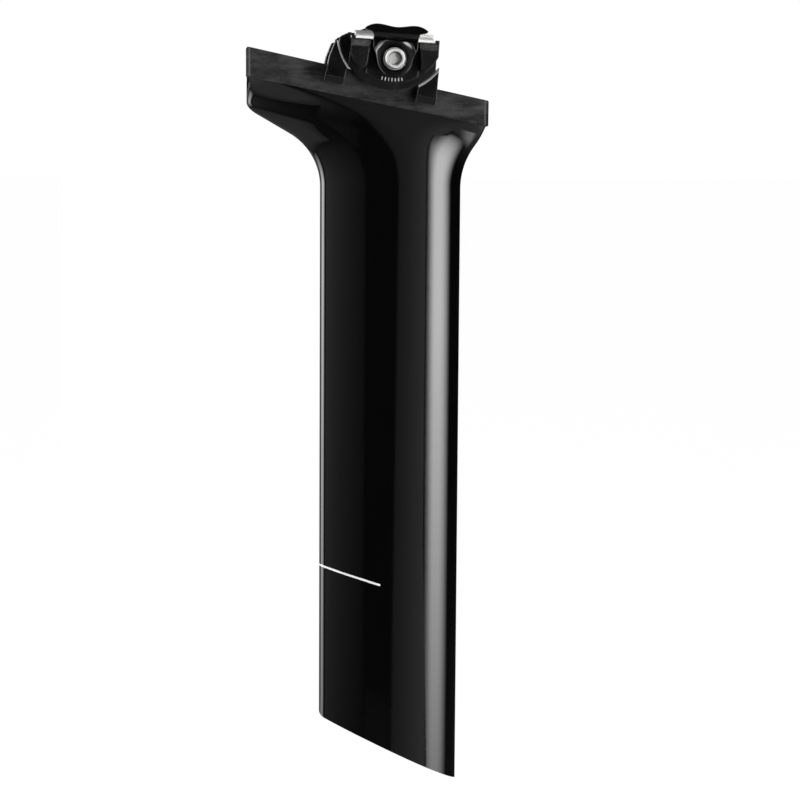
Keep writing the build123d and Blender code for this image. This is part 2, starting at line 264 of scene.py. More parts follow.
def mattRail():
    # the clamping band is left matt, so that the clamp grips: blotchy grey-black resin
    material, tree, where = newMaterial("mattResinRail")
    along = addNode(tree, "ShaderNodeMapping", {"Scale": (0.4, 1, 1.2)}, {"Vector": where})
    blotch = addNode(tree, "ShaderNodeTexNoise", {"Scale": 1000 / 5.0, "Detail": 4, "Roughness": 0.66},
                     {"Vector": along})
    fine = addNode(tree, "ShaderNodeTexNoise", {"Scale": 1000 / 0.8, "Detail": 3, "Roughness": 0.6},
                   {"Vector": where})
    mixed = addNode(tree, "ShaderNodeMix", {"Factor": 0.25}, {2: blotch, 3: fine})
    tone = addNode(tree, "ShaderNodeMapRange", {"From Min": 0.39, "From Max": 0.61}, {"Value": mixed})
    colour = addNode(tree, "ShaderNodeMix", {"data_type": "RGBA", 6: toLinear("#080809"), 7: toLinear("#2c2c2d")},
                     {0: tone})
    dull = addNode(tree, "ShaderNodeMapRange", {"To Min": 0.33, "To Max": 0.44}, {"Value": tone})
    grain = addNode(tree, "ShaderNodeBump", {"Strength": 0.15, "Distance": 0.0002}, {"Height": fine})
    shader = addNode(tree, "ShaderNodeBsdfPrincipled", {"IOR": 1.5, "Specular IOR Level": 0.2},
                     {"Base Color": colour.outputs[2], "Roughness": dull, "Normal": grain})
    addNode(tree, "ShaderNodeOutputMaterial", None, {"Surface": shader})
    return material


def rawCarbonEdge():
    # sawn laminate at the foot and the bare moulded bore: dull, with plies about 0.5 mm apart
    material, tree, where = newMaterial("rawCarbonEdge")
    along = addNode(tree, "ShaderNodeMapping", {"Scale": (1, 1, 0.2)}, {"Vector": where})
    plies = addNode(tree, "ShaderNodeTexNoise", {"Scale": 1000 / 0.5, "Detail": 2, "Roughness": 0.6},
                    {"Vector": along})
    colour = addNode(tree, "ShaderNodeMix", {"data_type": "RGBA", 6: toLinear("#121213"), 7: toLinear("#2c2c2d")},
                     {0: plies})
    dull = addNode(tree, "ShaderNodeMapRange", {"To Min": 0.5, "To Max": 0.8}, {"Value": plies})
    shader = addNode(tree, "ShaderNodeBsdfPrincipled", {"IOR": 1.5},
                     {"Base Color": colour.outputs[2], "Roughness": dull})
    addNode(tree, "ShaderNodeOutputMaterial", None, {"Surface": shader})
    return material


# printed insertion line, in metres and degrees
lines = {
    "slope": 17.1,
    "tail": 0.035,         # it meets the trailing edge at height 0
    "frontEnd": -0.0048,   # and stops short of mid-chord
    "halfWidth": 0.00052,
}

carbon = lacqueredCarbon()
matt = mattRail()
edgeFinish = rawCarbonEdge()


def makePostBody():
    foil = outline(-post["chord"] / 2, post["chord"] / 2, post["thickness"] / 2, 0)
    bore = outline(-post["chord"] / 2 + post["boreTailGap"], post["chord"] / 2 - post["wall"],
                   post["thickness"] / 2 - post["wall"], 0)
    count = len(foil)
    rings = [[(x, y, post["boreTop"]) for x, y in bore]]
    rings.append([(x, y, cutHeight(x)) for x, y in bore])
    rings.append([(x, y, cutHeight(x)) for x, y in foil])
    for i in range(1, post["shankLevels"]):
        share = i / post["shankLevels"]
        rings.append([(x, y, blend(cutHeight(x), post["shankTop"], share)) for x, y in foil])
    rings += [flareRing(i / post["levels"]) for i in range(post["levels"] + 1)]
    points = [p for ring in rings for p in ring]
    piece = meshFrom("postBody", points, ringFaces(len(rings), count), carbon)
    piece.data.materials.append(edgeFinish)
    for polygon in piece.data.polygons:
        if all(v < 3 * count for v in polygon.vertices):    # the first three rings are the bore and the cut
            polygon.material_index = 1
    return piece


rail = {
    "topHeight": 243.0,    # at mid-chord
    "halfTop": 13.0,
    "lean": 0.0486,        # dovetail: how much it narrows per millimetre down
    "corner": 2.6,
    "cornerSteps": 8,
    "bevel": 0.5,
    "groove": 0.35,        # step between the rail and the lacquered body
}


def railOutline(inset):
    rear, front = post["headRear"] + inset, post["headFront"] - inset
    half = rail["halfTop"] - inset
    corner = max(rail["corner"] - inset, 0.4)
    points = []
    for cx, cy, start in ((front - corner, half - corner, 0), (rear + corner, half - corner, 90),
                          (rear + corner, corner - half, 180), (front - corner, corner - half, 270)):
        for i in range(rail["cornerSteps"] + 1):
            a = math.radians(start + 90 * i / rail["cornerSteps"])
            points.append((cx + corner * math.cos(a), cy + corner * math.sin(a)))
    return points


def makeRail():
    fall = math.tan(math.radians(place["headSlope"]))
    rings = []
    for drop, inset in ((-0.4, 1.2), (0, rail["groove"]), (0.3, 0.05), (0.6, 0.0)):
        ring = []
        for x, y in railOutline(inset):
            z = bandEdge(x) + drop
            narrow = rail["lean"] * (rail["topHeight"] - fall * x - z)
            ring.append((x, y - math.copysign(min(narrow, abs(y)), y), z))
        rings.append(ring)
    for i in range(4):
        a = math.radians(30 * i)
        inset = rail["bevel"] * (1 - math.cos(a))
        rings.append([(x, y, rail["topHeight"] - fall * x - rail["bevel"] * (1 - math.sin(a)))
                      for x, y in railOutline(inset)])
    points = [p for ring in rings for p in ring]
    return meshFrom("railHead", points, ringFaces(len(rings), len(rings[0])), matt, 50)


postBody = makePostBody()
railHead = makeRail()
for piece in (postBody, railHead):
    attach(piece, "post")
    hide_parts("post")
print("post made:", len(postBody.data.polygons) + len(railHead.data.polygons), "faces")


# Clamp: forged and anodised aluminium, bare where the saddle rails lie
clamp = {
    "bareRadius": 0.00372,    # wear reaches this far round a saddle rail's centre line
    "edgeRounding": 0.0005,   # tumbled edges
    # edges lightened in colour: partly wear, partly a painted highlight
    "edgeWearAndHighlight": 0.5,
    "edgeWearAndHighlightColour": "#56565a",
    "rimRadius": 0.0283,      # outer limit of the arms' rim chamfer that carries a painted highlight, and how far from the middle it starts
    "rimDepth": 0.01715,
    # colour of the painted highlight on the arms' rim chamfer
    "paintedRimHighlight": "#9a9a9c",
    "black": ("#030303", "#070708"),
    "bareMetal": ("#c8c8c6", "#ececea"),
    "boltDrop": 0.0123,       # bolt's centre below the tilt axis
    # painted shade: the colour of the dark rings on the cap screw's head
    "paintedShade": "#111111",
    "socketShadeRadius": 0.0031,     # rim of the key's socket, where a ring of painted shade lies
    "knurlRadius": 0.0047,    # the head's knurled side starts here; painted shade covers it from here out
}


def blastedBlack(tree, where):
    # blasting grit of about 0.35 mm under a faint cloud, which the black anodising follows
    grit = addNode(tree, "ShaderNodeTexNoise", {"Scale": 1000 / 0.35, "Detail": 3, "Roughness": 0.6},
                   {"Vector": where})
    cloud = addNode(tree, "ShaderNodeTexNoise", {"Scale": 1000 / 7, "Detail": 2}, {"Vector": where})
    mixed = addNode(tree, "ShaderNodeMix", {"Factor": 0.5}, {2: grit, 3: cloud})
    tone = addNode(tree, "ShaderNodeMapRange", {"From Min": 0.35, "From Max": 0.65}, {"Value": mixed})
    low, high = clamp["black"]
    black = addNode(tree, "ShaderNodeMix", {"data_type": "RGBA", 6: toLinear(low), 7: toLinear(high)}, {0: tone})
    return grit, tone, black


def cradleAxes(tree, where):
    # coordinates from the tilt axis, along the saddle rails and square to them
    return addNode(tree, "ShaderNodeMapping",
                   {"vector_type": "TEXTURE", "Location": (0, 0, place["axisHeight"]),
                    "Rotation": (0, math.radians(place["cradleSlope"]), 0)}, {"Vector": where})


def blackForging():
    # black anodising over a blasted forging: satin, with a fine grain, and edges a little lighter: partly rubbed
    # wear, partly a painted highlight
    material, tree, where = newMaterial("blackAnodisedForging")
    grit, tone, black = blastedBlack(tree, where)
    rounded = addNode(tree, "ShaderNodeBevel", {"samples": 8, "Radius": clamp["edgeRounding"]})
    # an edge shows where the rounded normal leaves the flat one
    flat = addNode(tree, "ShaderNodeNewGeometry").outputs["True Normal"]
    turned = addNode(tree, "ShaderNodeVectorMath", {"operation": "DOT_PRODUCT"}, {0: rounded, 1: flat})
    # edges lightened, as wear and as a painted highlight
    edge = addNode(tree, "ShaderNodeMapRange", {"From Min": 0.995, "From Max": 0.93, "To Max": clamp["edgeWearAndHighlight"]},
                   {"Value": turned.outputs["Value"]})
    wornAndHighlit = addNode(tree, "ShaderNodeMix", {"data_type": "RGBA", 7: toLinear(clamp["edgeWearAndHighlightColour"])},
                   {0: edge, 6: black.outputs[2]})
    # painted highlight: the chamfer that the cradle's rim turns in is painted light grey
    apart = addNode(tree, "ShaderNodeSeparateXYZ", None, {0: where}).outputs
    lift = addNode(tree, "ShaderNodeMath", {"operation": "SUBTRACT", 1: place["axisHeight"]}, {0: apart[2]})
    across = addNode(tree, "ShaderNodeCombineXYZ", None, {0: apart[0], 2: lift})
    away = addNode(tree, "ShaderNodeVectorMath", {"operation": "LENGTH"}, {0: across})
    near = addNode(tree, "ShaderNodeMath", {"operation": "LESS_THAN", 1: clamp["rimRadius"]},
                   {0: away.outputs["Value"]})
    sideways = addNode(tree, "ShaderNodeMath", {"operation": "ABSOLUTE"}, {0: apart[1]})
    outside = addNode(tree, "ShaderNodeMath", {"operation": "GREATER_THAN", 1: clamp["rimDepth"]}, {0: sideways})
    rim = addNode(tree, "ShaderNodeMath", {"operation": "MULTIPLY"}, {0: near, 1: outside})
    colour = addNode(tree, "ShaderNodeMix", {"data_type": "RGBA", 7: toLinear(clamp["paintedRimHighlight"])},
                     {0: rim, 6: wornAndHighlit.outputs[2]})
    dull = addNode(tree, "ShaderNodeMapRange", {"To Min": 0.19, "To Max": 0.28}, {"Value": tone})
    grain = addNode(tree, "ShaderNodeBump", {"Strength": 0.06, "Distance": 0.0001},
                    {"Height": grit, "Normal": rounded})
    shader = addNode(tree, "ShaderNodeBsdfPrincipled", {"IOR": 1.5, "Specular IOR Level": 0.31},
                     {"Base Color": colour.outputs[2], "Roughness": dull, "Normal": grain})
    addNode(tree, "ShaderNodeOutputMaterial", None, {"Surface": shader})
    return material


def polishedEar():
    # the same black anodising over a tumbled, nearly polished forging: deep black with clear reflections
    material, tree, where = newMaterial("blackAnodisedPolished")
    cloud = addNode(tree, "ShaderNodeTexNoise", {"Scale": 1000 / 5, "Detail": 3}, {"Vector": where})
    low, high = clamp["black"]
    colour = addNode(tree, "ShaderNodeMix", {"data_type": "RGBA", 6: toLinear(low), 7: toLinear(high)}, {0: cloud})
    dull = addNode(tree, "ShaderNodeMapRange", {"From Min": 0.3, "From Max": 0.7, "To Min": 0.08, "To Max": 0.13},
                   {"Value": cloud})
    rounded = addNode(tree, "ShaderNodeBevel", {"samples": 8, "Radius": 0.0006})
    shader = addNode(tree, "ShaderNodeBsdfPrincipled", {"IOR": 1.5},
                     {"Base Color": colour.outputs[2], "Roughness": dull, "Normal": rounded})
    addNode(tree, "ShaderNodeOutputMaterial", None, {"Surface": shader})
    return material


def forgingWithBareGroove():
    # the same forging, milled bright where a saddle rail beds: end-mill marks run along the groove
    material, tree, where = newMaterial("blackAnodisedForgingBareGroove")
    grit, tone, black = blastedBlack(tree, where)
    # the mask: distance from the saddle rail's centre line, on either side
    centred = cradleAxes(tree, where)
    apart = addNode(tree, "ShaderNodeSeparateXYZ", None, {0: centred}).outputs
    side = addNode(tree, "ShaderNodeMath", {"operation": "ABSOLUTE"}, {0: apart[1]})
    out = addNode(tree, "ShaderNodeMath", {"operation": "SUBTRACT", 1: place["railSide"]}, {0: side})
    across = addNode(tree, "ShaderNodeCombineXYZ", None, {1: out, 2: apart[2]})
    away = addNode(tree, "ShaderNodeVectorMath", {"operation": "LENGTH"}, {0: across})
    bare = addNode(tree, "ShaderNodeMath", {"operation": "LESS_THAN", 1: clamp["bareRadius"]},
                   {0: away.outputs["Value"]})
    along = addNode(tree, "ShaderNodeMapping", {"Scale": (0.08, 1, 1)}, {"Vector": centred})
    marks = addNode(tree, "ShaderNodeTexNoise", {"Scale": 1000 / 0.4, "Detail": 2}, {"Vector": along})
    low, high = clamp["bareMetal"]
    silver = addNode(tree, "ShaderNodeMix", {"data_type": "RGBA", 6: toLinear(low), 7: toLinear(high)}, {0: marks})
    colour = addNode(tree, "ShaderNodeMix", {"data_type": "RGBA"},
                     {0: bare, 6: black.outputs[2], 7: silver.outputs[2]})
    dull = addNode(tree, "ShaderNodeMapRange", {"To Min": 0.2, "To Max": 0.29}, {"Value": tone})
    duller = addNode(tree, "ShaderNodeMath", {"operation": "MULTIPLY_ADD", 1: 0.2}, {0: bare, 2: dull})
    rounded = addNode(tree, "ShaderNodeBevel", {"samples": 6, "Radius": clamp["edgeRounding"]})
    grain = addNode(tree, "ShaderNodeBump", {"Strength": 0.06, "Distance": 0.0001},
                    {"Height": grit, "Normal": rounded})
    shader = addNode(tree, "ShaderNodeBsdfPrincipled", None,
                     {"Base Color": colour.outputs[2], "Metallic": bare, "Roughness": duller, "Normal": grain})
    addNode(tree, "ShaderNodeOutputMaterial", None, {"Surface": shader})
    return material


def turnedSilver(tree, where):
    # turning marks in the steel, about 1.2 mm apart, drawn coarser than the real ones so that they show
    marks = addNode(tree, "ShaderNodeTexNoise", {"Scale": 1000 / 1.2, "Detail": 2}, {"Vector": where})
    silver = addNode(tree, "ShaderNodeMix", {"data_type": "RGBA", 6: toLinear("#cfcfcd"), 7: toLinear("#e6e6e4")},
                     {0: marks})
    return marks, silver


def stainlessSteel():
    # turned and tumbled stainless steel: bright, with faint marks
    material, tree, where = newMaterial("stainlessSteel")
    marks, silver = turnedSilver(tree, where)
    dull = addNode(tree, "ShaderNodeMapRange", {"To Min": 0.3, "To Max": 0.38}, {"Value": marks})
    rounded = addNode(tree, "ShaderNodeBevel", {"samples": 6, "Radius": 0.00025})
    shader = addNode(tree, "ShaderNodeBsdfPrincipled", {"Metallic": 1.0},
                     {"Base Color": silver.outputs[2], "Roughness": dull, "Normal": rounded})
    addNode(tree, "ShaderNodeOutputMaterial", None, {"Surface": shader})
    return material


def capScrewSteel():
    # the same steel, with painted shade as dark rings: at the mouth of the key's socket, where its walls lie in
    # shade, and on the head's knurled side
    material, tree, where = newMaterial("stainlessCapScrew")
    silver = turnedSilver(tree, where)[1]
    centred = cradleAxes(tree, where)
    apart = addNode(tree, "ShaderNodeSeparateXYZ", None, {0: centred}).outputs
    lift = addNode(tree, "ShaderNodeMath", {"operation": "ADD", 1: clamp["boltDrop"]}, {0: apart[2]})
    across = addNode(tree, "ShaderNodeCombineXYZ", None, {0: apart[0], 2: lift})
    away = addNode(tree, "ShaderNodeVectorMath", {"operation": "LENGTH"}, {0: across})
    aside = addNode(tree, "ShaderNodeMath", {"operation": "SUBTRACT", 1: clamp["socketShadeRadius"]},
                    {0: away.outputs["Value"]})
    gap = addNode(tree, "ShaderNodeMath", {"operation": "ABSOLUTE"}, {0: aside})
    # painted shade: a dark ring at the mouth of the key's socket
    paintedShade = addNode(tree, "ShaderNodeMapRange",
                   {"interpolation_type": "SMOOTHSTEP", "From Min": 0.00045, "From Max": 0.00012, "To Max": 0.85},
                   {"Value": gap})
    # painted shade on the knurled side of the head
    knurlShade = addNode(tree, "ShaderNodeMapRange",
                    {"interpolation_type": "SMOOTHSTEP", "From Min": clamp["knurlRadius"] - 0.0002,
                     "From Max": clamp["knurlRadius"] + 0.0001, "To Max": 0.75}, {"Value": away.outputs["Value"]})
    shadeMask = addNode(tree, "ShaderNodeMath", {"operation": "MAXIMUM"}, {0: paintedShade, 1: knurlShade})
    colour = addNode(tree, "ShaderNodeMix", {"data_type": "RGBA", 7: toLinear(clamp["paintedShade"])},
                     {0: shadeMask, 6: silver.outputs[2]})
    dull = addNode(tree, "ShaderNodeMapRange", {"To Min": 0.38, "To Max": 0.6}, {"Value": shadeMask})
    rounded = addNode(tree, "ShaderNodeBevel", {"samples": 6, "Radius": 0.00025})
    shader = addNode(tree, "ShaderNodeBsdfPrincipled", {"Metallic": 1.0},
                     {"Base Color": colour.outputs[2], "Roughness": dull, "Normal": rounded})
    addNode(tree, "ShaderNodeOutputMaterial", None, {"Surface": shader})
    return material


forging = blackForging()
polished = polishedEar()
groovedForging = forgingWithBareGroove()
steel = stainlessSteel()
screwSteel = capScrewSteel()
clampFinish = {
    "jaw_right": forging, "jaw_left": forging, "ear_right": polished, "ear_left": polished,
    "cradle_right": groovedForging, "cradle_left": groovedForging,
    "clamp_bolt": screwSteel, "clamp_nut": steel, "washer_right": steel, "washer_left": steel,
}
for name, finish in clampFinish.items():
    slots = nodes[name].data.materials
    slots.clear()
    slots.append(finish)
print("clamp finished:", len(clampFinish), "nodes")

# Rear shoulders of the cradles: the toothed corner between the tower and the rim, in millimetres
shoulder = {
    "rimRadius": 26.9,     # 0.4 mm inside the jaw's arms
    "innerReach": 21.0,    # behind the tilt axis, where the tower starts
    "outerTop": -3.4,      # top at the rim and at the tower, from the tilt axis
    "innerTop": -0.4,
    "innerFace": 13.7,
    "outerFace": 17.1,
    "teeth": 4,
    "toothHeight": 0.5,
    "edge": 0.35,
}


def makeShoulder(name, side):
    # the side view as a closed line: down along the rim, then up the tower and back over the teeth
    rim, inner = shoulder["rimRadius"], shoulder["innerReach"]
    startAngle = math.asin(-shoulder["outerTop"] / rim)
    endAngle = math.acos(inner / rim)
    points = []
    for i in range(13):
        a = blend(startAngle, endAngle, i / 12)
        points.append((-rim * math.cos(a), -rim * math.sin(a)))
    points.append((-inner, shoulder["innerTop"]))
    steps = 2 * shoulder["teeth"]
    for i in range(1, steps):
        share = i / steps
        lift = shoulder["toothHeight"] if i % 2 == 0 else 0.0
        points.append((blend(-inner, points[0][0], share),
                       blend(shoulder["innerTop"], points[0][1], share) + lift))
    slope = math.radians(place["cradleSlope"])
    shape = bmesh.new()
    ring = []
    for u, v in points:
        x = u * math.cos(slope) + v * math.sin(slope)
        z = place["axisHeight"] * 1000 - u * math.sin(slope) + v * math.cos(slope)
        ring.append(shape.verts.new((x / 1000, side * shoulder["innerFace"] / 1000, z / 1000)))
    face = shape.faces.new(ring)
    grown = bmesh.ops.extrude_face_region(shape, geom=[face])
    depth = side * (shoulder["outerFace"] - shoulder["innerFace"]) / 1000
    outer = [v for v in grown["geom"] if isinstance(v, bmesh.types.BMVert)]
    bmesh.ops.translate(shape, vec=(0, depth, 0), verts=outer)
    bmesh.ops.recalc_face_normals(shape, faces=shape.faces)
    mesh = bpy.data.meshes.new(name)
    shape.to_mesh(mesh)
    shape.free()
    mesh.materials.append(forging)
    piece = bpy.data.objects.new(name, mesh)
    bpy.context.scene.collection.objects.link(piece)
    bevel = piece.modifiers.new("edge", "BEVEL")
    bevel.width = shoulder["edge"] / 1000
    bevel.segments = 2
    bevel.limit_method = "ANGLE"
    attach(piece, "saddle_carrier")
    return piece


for name, side in (("shoulderRight", -1), ("shoulderLeft", 1)):
    makeShoulder(name, side)
print("cradle shoulders made")

# Dishes of the ears: round the bolt a steep wall turns into a shallow flare, in millimetres
dish = {
    "wallStart": (5.9, 25.2),   # radius and distance from the middle
    "knee": (7.0, 27.0),
    "rim": (10.6, 28.4),
    "bossRadius": 8.6,
    "capUnderside": 8.6,        # above the bolt's centre
    "waist": (10.8, 5.3),       # the ear's outline is widest here, beside and above the bolt's centre
    "sunk": 0.1,                # how far the ring's back sinks into the ear
    "steps": 72,
}


def dishReach(angle):
    # how far the flare runs in this direction before it meets the ear's outline
    rise, aside = math.sin(angle), abs(math.cos(angle))
    if rise <= 0:
        return dish["bossRadius"]
    wide, high = dish["waist"]
    lean = high * aside - (wide - dish["bossRadius"]) * rise
    reach = dish["bossRadius"] * high / lean if lean > 0 else dish["rim"][0]
    return min(reach, dish["rim"][0], dish["capUnderside"] / rise)


def makeDish(name, side):
    wallRadius, wallDepth = dish["wallStart"]
    kneeRadius, kneeDepth = dish["knee"]
    rimRadius, rimDepth = dish["rim"]
    slope = math.radians(place["cradleSlope"])
    points = []
    for i in range(dish["steps"]):
        angle = 2 * math.pi * i / dish["steps"]
        reach = dishReach(angle)
        edge = blend(kneeDepth, rimDepth, (reach - kneeRadius) / (rimRadius - kneeRadius))
        under = blend(wallDepth, rimDepth, (reach - wallRadius) / (rimRadius - wallRadius)) - dish["sunk"]
        # once round the section: sunk foot, wall, softened knee, rim, and back under the flare
        section = ((wallRadius, wallDepth - dish["sunk"]), (wallRadius, wallDepth),
                   (kneeRadius - 0.3, kneeDepth - 0.35), (kneeRadius + 0.3, kneeDepth + 0.12),
                   (reach, edge), (reach, under))
        for radius, depth in section:
            u, v = radius * math.cos(angle), radius * math.sin(angle) - clamp["boltDrop"] * 1000
            points.append((u * math.cos(slope) + v * math.sin(slope), side * depth,
                           place["axisHeight"] * 1000 - u * math.sin(slope) + v * math.cos(slope)))
    faces = []
    count = len(section)
    for i in range(dish["steps"]):
        here, after = count * i, count * ((i + 1) % dish["steps"])
        for j in range(count):
            k = (j + 1) % count
            corners = (here + j, here + k, after + k, after + j)
            faces.append(corners if side < 0 else tuple(reversed(corners)))
    piece = meshFrom(name, points, faces, polished, 40)
    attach(piece, "saddle_carrier")
    return piece


earPieces = [nodes["ear_right"], nodes["ear_left"]]
for name, side in (("dishRight", -1), ("dishLeft", 1)):
    earPieces.append(makeDish(name, side))
print("ear dishes made")

# Setting ticks on the cradles' lower edges, plain and equal, in metres and degrees
ticks = {
    "count": 7,
    "pitch": 4.2,
    "radius": 0.0222,
    "length": 0.0016,
    "width": 0.0004,
    "thickness": 0.00012,
    "face": 0.0192,        # the cradle's outer face below the bolt
}


def markingPaint():
    # pad-printed white paint: nearly matt, a little uneven
    material, tree, where = newMaterial("padPrintedWhite")
    patchy = addNode(tree, "ShaderNodeTexNoise", {"Scale": 1000 / 0.6, "Detail": 2}, {"Vector": where})
    colour = addNode(tree, "ShaderNodeMix", {"data_type": "RGBA", 6: toLinear("#8f8f8f"), 7: toLinear("#c4c4c3")},
                     {0: patchy})
    dull = addNode(tree, "ShaderNodeMapRange", {"To Min": 0.45, "To Max": 0.6}, {"Value": patchy})
    shader = addNode(tree, "ShaderNodeBsdfPrincipled", {"IOR": 1.5},
                     {"Base Color": colour.outputs[2], "Roughness": dull})
    addNode(tree, "ShaderNodeOutputMaterial", None, {"Surface": shader})
    return material


def tickTree(paint):
    tree = bpy.data.node_groups.new("settingTicks", "GeometryNodeTree")
    sockets = (("Count", "Int"), ("Pitch", "Float"), ("Radius", "Float"), ("Size", "Vector"), ("Place", "Vector"),
               ("Turn", "Float"))
    for name, kind in sockets:
        tree.interface.new_socket(name, in_out="INPUT", socket_type="NodeSocket" + kind)
    tree.interface.new_socket("Geometry", in_out="OUTPUT", socket_type="NodeSocketGeometry")
    given = addNode(tree, "NodeGroupInput").outputs
    points = addNode(tree, "GeometryNodePoints", None, {"Count": given["Count"]})
    # each point is one tick, turned about the tilt axis by its place in the row
    order = addNode(tree, "GeometryNodeInputIndex")
    last = addNode(tree, "ShaderNodeMath", {"operation": "SUBTRACT", 1: 1.0}, {0: given["Count"]})
    middle = addNode(tree, "ShaderNodeMath", {"operation": "MULTIPLY", 1: 0.5}, {0: last})
    step = addNode(tree, "ShaderNodeMath", {"operation": "SUBTRACT"}, {0: order, 1: middle})
    angle = addNode(tree, "ShaderNodeMath", {"operation": "MULTIPLY_ADD"},
                    {0: step, 1: given["Pitch"], 2: given["Turn"]})
    turn = addNode(tree, "ShaderNodeCombineXYZ", None, {"Y": angle})
    slab = addNode(tree, "GeometryNodeMeshCube", None, {"Size": given["Size"]})
    drop = addNode(tree, "ShaderNodeMath", {"operation": "MULTIPLY", 1: -1.0}, {0: given["Radius"]})
    lowered = addNode(tree, "ShaderNodeCombineXYZ", None, {"Z": drop})
    tick = addNode(tree, "GeometryNodeTransform", None, {"Geometry": slab, "Translation": lowered})
    row = addNode(tree, "GeometryNodeInstanceOnPoints", None,
                  {"Points": points, "Instance": tick, "Rotation": turn})
    moved = addNode(tree, "GeometryNodeTransform", None, {"Geometry": row, "Translation": given["Place"]})
    solid = addNode(tree, "GeometryNodeRealizeInstances", None, {"Geometry": moved})
    painted = addNode(tree, "GeometryNodeSetMaterial", {"Material": paint}, {"Geometry": solid})
    addNode(tree, "NodeGroupOutput", None, {"Geometry": painted})
    return tree


def makeTicks(name, side, tree):
    holder = bpy.data.objects.new(name + "Holder", bpy.data.meshes.new(name + "Holder"))
    bpy.context.scene.collection.objects.link(holder)
    modifier = holder.modifiers.new("ticks", "NODES")
    modifier.node_group = tree
    values = {
        "Count": ticks["count"], "Pitch": math.radians(ticks["pitch"]), "Radius": ticks["radius"],
        "Size": (ticks["width"], ticks["thickness"], ticks["length"]),
        "Place": (0, side * ticks["face"], place["axisHeight"]), "Turn": math.radians(place["cradleSlope"]),
    }
    for socket in tree.interface.items_tree:
        if socket.in_out == "INPUT":
            modifier[socket.identifier] = values[socket.name]
    evaluated = holder.evaluated_get(bpy.context.evaluated_depsgraph_get())
    mesh = bpy.data.meshes.new_from_object(evaluated)
    mesh.name = name
    bpy.data.objects.remove(holder)
    piece = bpy.data.objects.new(name, mesh)
    bpy.context.scene.collection.objects.link(piece)
    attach(piece, "saddle_carrier")
    return piece


tickShape = tickTree(markingPaint())
for name, side in (("ticksRight", -1), ("ticksLeft", 1)):
    tickRow = makeTicks(name, side, tickShape)
    print(name, "made:", len(tickRow.data.polygons), "faces")

# Studio: a tall softbox right of the camera, dimmer fills, boxes low and overhead, a pale floor, white behind
studio = {
    "floorHeight": -1.1,
    "floorSeen": 0.985,       # the floor's own light in the camera's eye, just under white
    "floorMirrored": 0.9,     # strength of the painted glow that gloss sees 1 m from the point under the object
    "floorFading": -2.2,      # the power of the distance by which that fades
    "floorBrightest": 0.45,
    "backdrop": {"half": 0.3, "behind": 2.4, "top": 1.2},
    "worldFill": 0.005,
    "clearBoxes": ("lowRight", "earLeft", "earRight"),
    "flaggedBoxes": ("earLeft", "earRight"),    # these reach only the ears
    # name: azimuth from the camera side, elevation, distance, width, height, the share of the width that
    # fades at the left and at the right, strength at the left and at the right, its share at the foot,
    # and the share of the height that fades at the top
    "boxes": {
        "mainBox": (40.6, -4, 1.7, 1.26, 1.8, 0.3, 0.58, 11.8, 11.8, 0.02, 0.01),
        "frontFill": (11.2, -22, 1.8, 0.9, 1.7, 0.05, 0.15, 0.16, 0.62, 1.0, 0.05),
        "leftFill": (-35, 0, 1.8, 1.34, 2.4, 0.1, 0.03, 0.6, 0.06, 0.2, 0.01),
        "tailBox": (-71, -2, 1.6, 0.8, 1.8, 0.3, 0.3, 10.5, 10.5, 0.0, 0.01),
        "sideFill": (-105, 0, 1.6, 0.9, 2.2, 0.3, 0.1, 1.5, 1.5, 0.8, 0.01),
        "lowRight": (60, -40, 1.3, 1.0, 0.7, 0.45, 0.45, 2.4, 2.4, 1.0, 0.45),
        "earLeft": (-27, -22, 1.3, 0.5, 0.55, 0.4, 0.4, 13.0, 13.0, 1.0, 0.3),
        "earRight": (47, -20, 1.3, 0.4, 0.4, 0.4, 0.4, 8.0, 8.0, 1.0, 0.3),
        "overheadLeft": (-80, 48, 1.2, 0.9, 0.7, 0.3, 0.3, 6.0, 6.0, 1.0, 0.01),
        "overheadRight": (80, 48, 1.2, 0.9, 0.7, 0.3, 0.3, 3.5, 3.5, 1.0, 0.01),
        "overhead": (5, 96, 1.3, 1.1, 0.7, 0.3, 0.3, 2.6, 2.6, 1.0, 0.01),
        "highLeft": (-38, 36, 1.4, 0.6, 0.5, 0.25, 0.25, 4.5, 4.5, 1.0, 0.01),
        "highRight": (46, 34, 1.4, 0.5, 0.45, 0.25, 0.25, 5.0, 5.0, 1.0, 0.01),
    },
}


def stageObject(name, points, faces, material):
    mesh = bpy.data.meshes.new(name)
    mesh.from_pydata(points, [], faces)
    mesh.materials.append(material)
    item = bpy.data.objects.new(name, mesh)
    bpy.context.scene.collection.objects.link(item)
    return item


